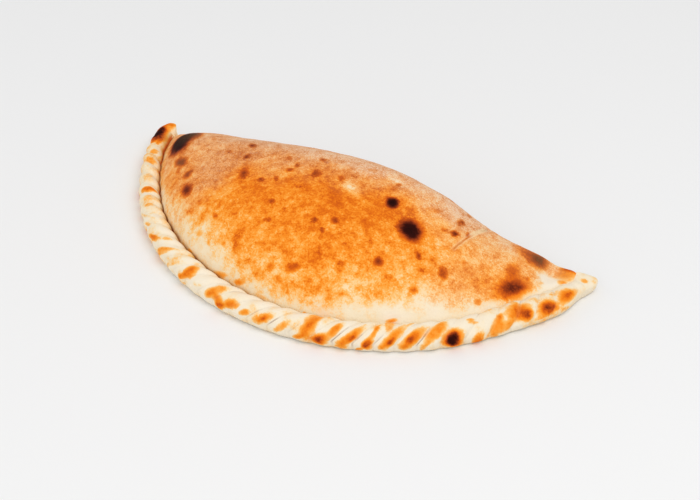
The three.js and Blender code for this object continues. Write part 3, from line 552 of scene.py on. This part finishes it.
# lay: distance from a crease; crease and the lip highlight: how dark the line is, and how bright the painted highlight
# on its lips is
lay, crease, lip_highlight = np.full((nc, nr), 9.0), np.zeros((nc, nr)), np.zeros((nc, nr))
turn = np.abs(phase[:n_col] - np.round(phase[:n_col])) * 11.8
lay[:n_col] = np.where(on_rope[:n_col], turn[:, None], 9.0)
place_across = (info['psi'] - SEAM) / (pi - SEAM) * 18
shown = 0.12 * sm((phase[:n_col, None] - 8) / 8) + 0 * place_across
for number, start, stop, amount in LAYS:
    here = sm((place_across - start + 1.5) / 3) * sm((stop + 1.5 - place_across) / 3)
    shown = np.where(np.abs(phase[:n_col, None] - number) < 0.5, np.maximum(shown, amount * here), shown)
crease[:n_col, n_dome:] = shown * np.clip(0.8 + 0.8 * lump9[:n_col, n_dome:], 0, 1)
# painted highlight: cream lips either side of the rope's crease lines
lip_highlight[:n_col, n_dome:] = shown

ash = 0.95 * near(G, (110.5, -9.5, 13), 11) + 0.7 * near(G, (-92.6, -50.5, 25), 6) + 0.5 * near(G, (-84.8, -30.9, 32.4), 6)
ash += 0.45 * near(G, (-79, -63, 28), 5) + 0.62 * near(G, (-99, -22, 27.5), 8) + 0.3 * near(G, (-105, -22, 20), 10)
ash = np.clip(ash, 0, 1)

# ---------------------------------------------------------------- relief
lift = lerp(0.42 * lump9 + 0.16 * lump4, 0.55 * lump22 + 0.22 * lump9 + 0.10 * lump4, crust)
lift += 0.035 * lump2
lift += 0.45 * np.clip(burn - 0.5, 0, 1) * (0.6 + 0.4 * lump4)
lift *= np.clip((nr - 1 - np.arange(nr)) / 5, 0, 1)[None]
lift *= 1 - 0.8 * np.exp(-(rows / 2.0) ** 2) * (1 - fold[:, None])


def segment(P, a, b):
    a, b = np.array(a, float), np.array(b, float)
    t = np.clip(((P - a) @ (b - a)) / ((b - a) @ (b - a)), 0, 1)
    return np.linalg.norm(P - (a + t[..., None] * (b - a)), axis=-1), t


d, t = segment(G[..., :2], (78.1, -48.5), (80.0, -7))
body = sm(t / 0.12) * sm((1 - t) / 0.1) * on_dome
lift += body * (-1.2 * np.exp(-(d / 1.2) ** 2) + 0.6 * np.exp(-((d - 2.8) / 1.6) ** 2))
cut = (np.stack([X - 78.1, Y + 48.5], -1) @ [41.5, -1.9]) / np.hypot(41.5, 1.9)
crease = np.maximum(crease, 1.15 * body * sm((0.58 - t) / 0.15))
# painted highlight along the lips of the dome's crease
lip_highlight = np.maximum(lip_highlight, body * (0.35 + 0.65 * sm((t - 0.36) / 0.15)) * sm((0.95 - t) / 0.2))
d, t = segment(G[..., :2], (-81.6, -41.9), (-61.1, -30.5))
lift += 0.35 * np.exp(-(d / 1.4) ** 2) * sm(t / 0.2) * sm((1 - t) / 0.2) * on_dome

G = G + N * lift[..., None]
across = sm((np.arange(nr) - n_dome) / (0.6 * (nr - 1 - n_dome)))
outward = np.zeros((nc, 2))
outward[:n_col] = G[:n_col, -1, :2] - G[:n_col, n_dome, :2]
outward[:n_col] /= np.linalg.norm(outward[:n_col], axis=1)[:, None]
scallop = 0.9 * (strand(phase) - 0.6) * sm((phase - 18) / 4) * sm((31 - phase) / 3)
G[..., :2] += outward[:, None] * (scallop[:, None] * across[None])[..., None]
groove = left * np.clip(0.75 + 0.6 * lump9[:, n_dome], 0.2, 1.2)
G[:, n_dome, 2] -= 1.4 * groove
G[:, n_dome - 1, 2] -= 0.6 * groove
G[:, n_dome + 1, 2] -= 0.8 * groove
G[..., 2] = np.maximum(G[..., 2], 0)
G[:, -1, 2] = 0


# ---------------------------------------------------------------- texture map
def chart():
    """the top unrolled from the crown, each column by its own length"""
    s = smooth
    run = np.concatenate([np.zeros((nc, 1)), np.cumsum(np.linalg.norm(np.diff(s, axis=1), axis=-1), 1)], 1)
    seam_run = run[:, n_dome:n_dome + 1]
    out = s[:, n_dome, :2] - CROWN
    out /= np.linalg.norm(out, axis=1)[:, None]
    uv = np.zeros((nc, nr, 2))
    uv[:, :n_dome + 1] = out[:, None] * run[:, :n_dome + 1, None]
    wide = s[:, n_dome + int((nr - n_dome) * 0.55), :2] - s[:, n_dome, :2]
    size = np.linalg.norm(wide, axis=1)
    away = np.where(size[:, None] > 1.0, wide / (size[:, None] + 1e-9), out)
    fold = np.zeros(nc, bool)
    fold[n_col + info['n_tail']:n_col + info['n_tail'] + info['n_fold']] = True
    tn = tangents(np.concatenate([s[-1:, n_dome, :2], s[:, n_dome, :2], s[:1, n_dome, :2]]))[1:-1]
    side = np.stack([tn[:, 1], -tn[:, 0]], -1)
    away = np.where(fold[:, None], side, away)
    for _ in range(6):
        away = (np.roll(away, 1, 0) + 2 * away + np.roll(away, -1, 0))
        away /= np.linalg.norm(away, axis=1)[:, None]
    ring = run[:, n_dome:] - seam_run
    k = np.ones(nc)
    k = np.where(size < 12, np.clip(size / 12, 0.35, 1), k)
    k = np.where(fold, 1.0, k)
    for _ in range(8):
        k = (np.roll(k, 1) + 2 * k + np.roll(k, -1)) / 4
    # where neighbouring columns would cross, they are drawn shorter
    for _ in range(80):
        uv[:, n_dome:] = uv[:, n_dome:n_dome + 1] + away[:, None] * (ring * k[:, None])[..., None]
        crossed = (turned_over(uv)[:, 1:]).any(1)
        if not crossed.any():
            break
        reach = np.convolve(np.concatenate([crossed[-4:], crossed, crossed[:4]]).astype(float), np.hanning(11)[1:-1], 'same')[4:-4]
        k = k * (1 - 0.1 * np.clip(reach, 0, 1))
    return uv


def turned_over(uv):
    area = np.cross(uv[:, 1:] - uv[:, :-1], np.roll(uv, -1, 0)[:, :-1] - uv[:, :-1])
    return area * np.sign(np.median(area)) <= 0


UV = chart()
print('chart: turned-over quads', int(turned_over(UV)[:, 1:].sum()))

V, quads, tris, ngon = faces_of(G)
m = nr - 1
top_uv = np.concatenate([UV[:, 1:].reshape(-1, 2), [[0.0, 0.0]]])
base_uv = smooth[:, -1, :2] * [-1, 1]
lo, hi = top_uv.min(0), top_uv.max(0)
blo, bhi = base_uv.min(0), base_uv.max(0)
pad = 3.0
tall = (hi - lo)[1] + (bhi - blo)[1] + 3 * pad
wide = max((hi - lo)[0], (bhi - blo)[0]) + 2 * pad
scale = 1 / max(tall, wide)
top_uv = (top_uv - lo + pad) * scale
base_uv = (base_uv - blo + [pad, (hi - lo)[1] + 2 * pad]) * scale

# ---------------------------------------------------------------- Blender object
mesh = bpy.data.meshes.new('calzone_dough')
metres = (V - MIDDLE) * 0.001
sides = np.array([4] * len(quads) + [3] * len(tris) + [len(ngon)], np.int32)
corners = np.concatenate([quads.ravel(), tris.ravel(), ngon]).astype(np.int32)
starts = np.concatenate([[0], np.cumsum(sides)[:-1]]).astype(np.int32)
mesh.vertices.add(len(V))
mesh.vertices.foreach_set('co', metres.astype(np.float32).ravel())
mesh.loops.add(len(corners))
mesh.loops.foreach_set('vertex_index', corners)
mesh.polygons.add(len(sides))
mesh.polygons.foreach_set('loop_start', starts)
mesh.update(calc_edges=True)
mesh.validate()
volume = float(np.einsum('ij,ij->i', metres[quads[:, 0]], np.cross(metres[quads[:, 1]], metres[quads[:, 2]])).sum())
if volume < 0:
    mesh.flip_normals()
corner_vertex = np.zeros(len(mesh.loops), np.int32)
mesh.loops.foreach_get('vertex_index', corner_vertex)
uv_all = top_uv[corner_vertex]
base_face = max(mesh.polygons, key=lambda p: p.loop_total)
place = {int(v): base_uv[j] for j, v in enumerate(np.arange(nc) * m + m - 1)}
for li in base_face.loop_indices:
    uv_all[li] = place[int(corner_vertex[li])]
layer = mesh.uv_layers.new(name='OFBake')
layer.data.foreach_set('uv', uv_all.astype(np.float32).ravel())
smooth_flags = np.ones(len(mesh.polygons), bool)
smooth_flags[base_face.index] = False
mesh.polygons.foreach_set('use_smooth', smooth_flags)
sharp = mesh.attributes.new('sharp_edge', 'BOOLEAN', 'EDGE')
ends = np.zeros(len(mesh.edges) * 2, np.int32)
mesh.edges.foreach_get('vertices', ends)
is_foot = np.zeros(len(V), bool)
is_foot[np.arange(nc) * m + m - 1] = True
sharp.data.foreach_set('value', is_foot[ends].reshape(-1, 2).all(1))


def attribute(name, values):
    flat = np.concatenate([values[:, 1:].ravel(), [values[:, 0].mean()]]).astype(np.float32)
    mesh.attributes.new('dough_' + name, 'FLOAT', 'POINT').data.foreach_set('value', flat)


for name, values in dict(heat=heat, burn=burn, rosy=rosy, gap_shade=gap_shade, lay=lay, cut=cut, crease=crease, lip_highlight=lip_highlight, ash=ash, rope=1 - crust).items():
    attribute(name, values)

calzone = bpy.data.objects.new('calzone_dough', mesh)
bpy.context.scene.collection.objects.link(calzone)
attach(calzone, 'root')
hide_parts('calzone')


# ---------------------------------------------------------------- material
def linear(rgb):
    c = [v / 255 for v in rgb]
    return [v / 12.92 if v <= 0.04045 else ((v + 0.055) / 1.055) ** 2.4 for v in c] + [1.0]


class Nodes:
    def __init__(self, name):
        self.material = bpy.data.materials.new(name)
        self.material.use_nodes = True
        self.tree = self.material.node_tree
        self.tree.nodes.clear()

    def new(self, kind, **values):
        n = self.tree.nodes.new(kind)
        for k, v in values.items():
            setattr(n, k, v)
        return n

    def feed(self, socket, value):
        if isinstance(value, bpy.types.NodeSocket):
            self.tree.links.new(value, socket)
        else:
            socket.default_value = value

    def math(self, op, *args, clamp=False):
        n = self.new('ShaderNodeMath', operation=op, use_clamp=clamp)
        for i, v in enumerate(args):
            self.feed(n.inputs[i], v)
        return n.outputs[0]

    def add(self, *terms):
        total = terms[0]
        for t in terms[1:]:
            total = self.math('ADD', total, t)
        return total

    def mul(self, a, b):
        return self.math('MULTIPLY', a, b)

    def step(self, value, low, high):
        n = self.new('ShaderNodeMapRange', interpolation_type='SMOOTHSTEP')
        self.feed(n.inputs['Value'], value)
        self.feed(n.inputs['From Min'], low)
        self.feed(n.inputs['From Max'], high)
        return n.outputs[0]

    def attribute(self, name):
        return self.new('ShaderNodeAttribute', attribute_name='dough_' + name, attribute_type='GEOMETRY').outputs['Fac']

    def noise(self, vector, millimetres, detail=2.0, roughness=0.5, distortion=0.0):
        """noise centred on 0, from about -1 to 1"""
        n = self.new('ShaderNodeTexNoise', noise_dimensions='3D')
        self.feed(n.inputs['Vector'], vector)
        n.inputs['Scale'].default_value = 1000.0 / millimetres
        n.inputs['Detail'].default_value = detail
        n.inputs['Roughness'].default_value = roughness
        n.inputs['Distortion'].default_value = distortion
        return self.math('MULTIPLY_ADD', n.outputs[0], 4.0, -2.0)

    def ramp(self, value, stops):
        n = self.new('ShaderNodeValToRGB')
        cr = n.color_ramp
        cr.interpolation = 'LINEAR'
        while len(cr.elements) > 1:
            cr.elements.remove(cr.elements[0])
        cr.elements[0].position = stops[0][0] / 2
        cr.elements[0].color = linear(stops[0][1])
        for at, rgb in stops[1:]:
            cr.elements.new(at / 2).color = linear(rgb)
        self.feed(n.inputs[0], self.mul(value, 0.5))
        return n.outputs[0]

    def mix(self, factor, a, b):
        n = self.new('ShaderNodeMix', data_type='RGBA', clamp_factor=True)
        self.feed(n.inputs[0], factor)
        self.feed(n.inputs[6], a)
        self.feed(n.inputs[7], b)
        return n.outputs[2]


g = Nodes('baked_dough_crust')
where = g.new('ShaderNodeTexCoord')
place = where.outputs['Object']
# the skin of the dough is stretched front to back, so its fine streaks run that way
turned = g.new('ShaderNodeMapping')
g.feed(turned.inputs['Vector'], place)
turned.inputs['Rotation'].default_value = (0, 0, -np.radians(62))
turned.inputs['Scale'].default_value = (0.42, 1.0, 1.0)
streaky = turned.outputs[0]

heat_in, burn_in, rosy_in = g.attribute('heat'), g.attribute('burn'), g.attribute('rosy')
gap_shade_in, crease_in, ash_in, rope_in = g.attribute('gap_shade'), g.attribute('crease'), g.attribute('ash'), g.attribute('rope')
wide_n, mid_n = g.noise(place, 16, 2, 0.5), g.noise(place, 5.5, 3, 0.6)
small_n, grain_n = g.noise(place, 2.2, 3, 0.6), g.noise(place, 0.9, 2, 0.6)
streak_n, fine_n = g.noise(streaky, 2.0, 3, 0.6), g.noise(place, 0.7, 1, 0.5)

active = g.step(heat_in, 0.02, 0.34)
mottle = g.add(g.mul(wide_n, 0.10), g.mul(mid_n, 0.25), g.mul(small_n, 0.16), g.mul(grain_n, 0.18), g.mul(streak_n, g.mul(rosy_in, 0.015)), g.mul(fine_n, g.math('MULTIPLY_ADD', rosy_in, 0.24, 0.04)))
mottle = g.mul(mottle, g.math('SUBTRACT', 1.0, g.mul(g.step(burn_in, 0.05, 0.45), 0.84)))
quiet = g.add(g.mul(mid_n, 0.035), g.mul(small_n, 0.02))
browning = g.add(heat_in, g.mul(mottle, active), g.mul(quiet, g.math('SUBTRACT', 1.0, active)))
browning = g.math('MAXIMUM', browning, g.math('MULTIPLY_ADD', heat_in, 0.5, 0.05))
browning = g.math('MINIMUM', browning, g.math('MULTIPLY_ADD', browning, 0.42, 0.535))
# a spot has a ragged edge and a grainy middle
frayed = g.mul(g.add(g.mul(mid_n, 0.05), g.mul(small_n, g.math('MULTIPLY_ADD', rope_in, 0.06, 0.055)), g.mul(grain_n, 0.035)), g.step(burn_in, 0.02, 0.30))
spot = g.add(burn_in, frayed)
spot = g.mul(spot, g.step(spot, g.math('MULTIPLY_ADD', rope_in, 0.04, 0.03), g.math('MULTIPLY_ADD', rope_in, 0.10, 0.28)))
spot = g.add(spot, g.mul(g.add(g.mul(small_n, 0.05), g.mul(grain_n, 0.04)), g.step(burn_in, 0.6, 1.1)))
browning = g.add(browning, spot)

ORANGE = [(0.0, (243, 234, 219)), (0.12, (243, 227, 197)), (0.28, (247, 206, 146)), (0.44, (250, 184, 102)), (0.58, (249, 163, 64)),
          (0.72, (245, 142, 36)), (0.88, (233, 119, 20)), (1.04, (208, 92, 16)), (1.22, (165, 66, 18)), (1.42, (104, 36, 14)),
          (1.66, (54, 12, 6)), (2.0, (36, 8, 5))]
ROSE = [(0.0, (243, 231, 212)), (0.2, (239, 210, 180)), (0.4, (234, 188, 150)), (0.55, (229, 168, 122)), (0.7, (222, 151, 96)),
        (0.85, (210, 130, 70)), (1.0, (192, 104, 50)), (1.15, (160, 76, 34)), (1.32, (120, 48, 24)), (1.5, (80, 28, 17)), (1.8, (46, 12, 9)), (2.0, (30, 6, 5))]
orange, rose = g.ramp(browning, ORANGE), g.ramp(browning, ROSE)
uneven = g.add(g.mul(mid_n, 0.26), g.mul(small_n, 0.20), g.mul(grain_n, 0.22))
pink = g.math('ADD', rosy_in, g.mul(uneven, g.step(rosy_in, 0.0, 0.3)))
colour = g.mix(g.mul(pink, 0.74), orange, rose)
# flour left in the skin shows as pale flecks where the crust is rosy
flecks = g.step(g.add(g.mul(grain_n, 0.55), g.mul(small_n, 0.35), g.mul(streak_n, 0.35)), 0.10, 0.65)
colour = g.mix(g.mul(g.mul(flecks, g.step(rosy_in, 0.4, 1.2)), g.math('SUBTRACT', 0.42, g.mul(g.step(burn_in, 0.05, 0.4), 0.42))), colour, linear((242, 206, 168)))
colour = g.mix(g.mul(g.mul(ash_in, g.step(burn_in, 0.15, 0.7)), g.add(0.55, g.mul(small_n, 0.28), g.mul(grain_n, 0.45))), colour, linear((140, 96, 56)))
# painted shade in the groove between rope and dome: a tan band, then a dark brown core
colour = g.mix(g.mul(g.step(gap_shade_in, 0.03, 0.5), 0.74), colour, linear((208, 158, 78)))
colour = g.mix(g.mul(g.step(gap_shade_in, 0.42, 0.9), 0.94), colour, linear((204, 96, 28)))
lay_in = g.math('MINIMUM', g.attribute('lay'), g.add(g.math('ABSOLUTE', g.attribute('cut')), g.mul(rope_in, 9.0)))
lay_in = g.add(lay_in, g.mul(small_n, 0.12))
# painted highlight: cream lips on either side of a crease line
lip_highlight_mask = g.mul(g.step(lay_in, 1.7, 0.8), g.math('SUBTRACT', 0.7, g.mul(g.step(burn_in, 0.1, 0.5), 0.55)))
colour = g.mix(g.mul(g.attribute('lip_highlight'), lip_highlight_mask), colour, g.mix(rope_in, linear((252, 224, 176)), linear((247, 236, 216))))
line_colour = g.mix(rope_in, linear((212, 112, 24)), g.mix(g.step(burn_in, 0.1, 0.5), linear((150, 104, 70)), linear((140, 62, 24))))
colour = g.mix(g.mul(crease_in, g.mul(g.step(lay_in, 0.75, 0.2), g.add(0.62, g.mul(small_n, 0.3)))), colour, line_colour)

# the underside lay on the oven floor: floury, with browned rings and freckles
normal_up = g.new('ShaderNodeSeparateXYZ')
g.feed(normal_up.inputs[0], where.outputs['Normal'])
under = g.step(normal_up.outputs[2], -0.90, -0.97)
floor_wide, floor_mid = g.noise(place, 30, 3, 0.55, 0.4), g.noise(place, 9, 4, 0.6)
floor_spot = g.step(g.add(g.mul(floor_wide, 0.7), g.mul(floor_mid, 0.75)), 0.15, 1.1)
floor_heat = g.add(0.22, g.mul(floor_wide, 0.12), g.mul(floor_mid, 0.12), g.mul(small_n, 0.08), g.mul(floor_spot, 0.85))
floor_colour = g.mix(0.45, g.ramp(floor_heat, ORANGE), g.ramp(floor_heat, ROSE))
flour = g.step(g.add(g.mul(small_n, 0.5), g.mul(floor_mid, 0.6)), 0.35, 1.2)
floor_colour = g.mix(g.mul(flour, 0.6), floor_colour, linear((243, 236, 222)))
colour = g.mix(under, colour, floor_colour)

shader = g.new('ShaderNodeBsdfPrincipled')
g.feed(shader.inputs['Base Color'], colour)
rough = g.add(0.68, g.mul(mid_n, 0.04), g.mul(small_n, 0.03), g.mul(g.step(browning, 1.1, 1.7), 0.10), g.mul(rope_in, 0.05))
g.feed(shader.inputs['Roughness'], g.math('MINIMUM', rough, 0.9))
shader.inputs['Specular IOR Level'].default_value = 0.05
bump = g.new('ShaderNodeBump')
bump.inputs['Strength'].default_value = 0.45
bump.inputs['Distance'].default_value = 0.00045
g.feed(bump.inputs['Height'], g.add(g.mul(small_n, 0.36), g.mul(grain_n, 0.26), g.mul(streak_n, g.mul(rosy_in, 0.10))))
g.feed(shader.inputs['Normal'], bump.outputs[0])
out = g.new('ShaderNodeOutputMaterial')
g.feed(out.inputs['Surface'], shader.outputs[0])
mesh.materials.append(g.material)

# ---------------------------------------------------------------- stage, light, camera
floor_mesh = bpy.data.meshes.new('stage_floor')
floor_mesh.from_pydata([(-6, -6, -0.0002), (6, -6, -0.0002), (6, 6, -0.0002), (-6, 6, -0.0002)], [], [(0, 1, 2, 3)])
floor = bpy.data.objects.new('stage_floor', floor_mesh)
bpy.context.scene.collection.objects.link(floor)
f = Nodes('stage_pale')
fs = f.new('ShaderNodeBsdfPrincipled')
fs.inputs['Base Color'].default_value = (0.86, 0.86, 0.86, 1)
fs.inputs['Roughness'].default_value = 0.7
fs.inputs['Specular IOR Level'].default_value = 0.2
fo = f.new('ShaderNodeOutputMaterial')
f.feed(fo.inputs['Surface'], fs.outputs[0])
floor_mesh.materials.append(f.material)

scene = bpy.context.scene
scene.view_settings.view_transform = 'Standard'
scene.view_settings.look = 'None'
world = bpy.data.worlds.new('studio')
scene.world = world
world.use_nodes = True
world.node_tree.nodes['Background'].inputs[0].default_value = (1.0, 1.0, 1.0, 1)
world.node_tree.nodes['Background'].inputs[1].default_value = 0.68


def area_light(name, place, target, size, power):
    data = bpy.data.lights.new(name, 'AREA')
    data.shape = 'DISK'
    data.size = size
    data.energy = power
    lamp = bpy.data.objects.new(name, data)
    lamp.location = place
    lamp.rotation_euler = (Vector(target) - Vector(place)).to_track_quat('-Z', 'Y').to_euler()
    scene.collection.objects.link(lamp)
    return lamp


area_light('key', (0.75, -0.15, 1.35), (0.0, 0.0, 0.0), 1.1, 7.75)
area_light('left', (-1.05, -0.55, 0.48), (0.0, 0.0, 0.02), 1.2, 2.1)
area_light('fill', (0.3, -1.3, 0.75), (0.0, 0.0, 0.02), 1.2, 3.0)

CAMERA = np.array([504.64109, -796.59667, 624.00246])
FORWARD, RIGHT, UP = (-0.44928095, 0.68876263, -0.56899267), (0.83756167, 0.5463428, 0.0), (-0.31086505, 0.47656645, 0.82234259)
lens = bpy.data.cameras.new('camera')
lens.lens = 104.94
lens.sensor_width = 36.0
lens.sensor_fit = 'HORIZONTAL'
lens.clip_start, lens.clip_end = 0.01, 30
camera = bpy.data.objects.new('camera', lens)
at = (CAMERA - MIDDLE) * 0.001
camera.matrix_world = Matrix([[RIGHT[i], UP[i], -FORWARD[i], at[i]] for i in range(3)] + [[0, 0, 0, 1]])
scene.collection.objects.link(camera)
scene.camera = camera
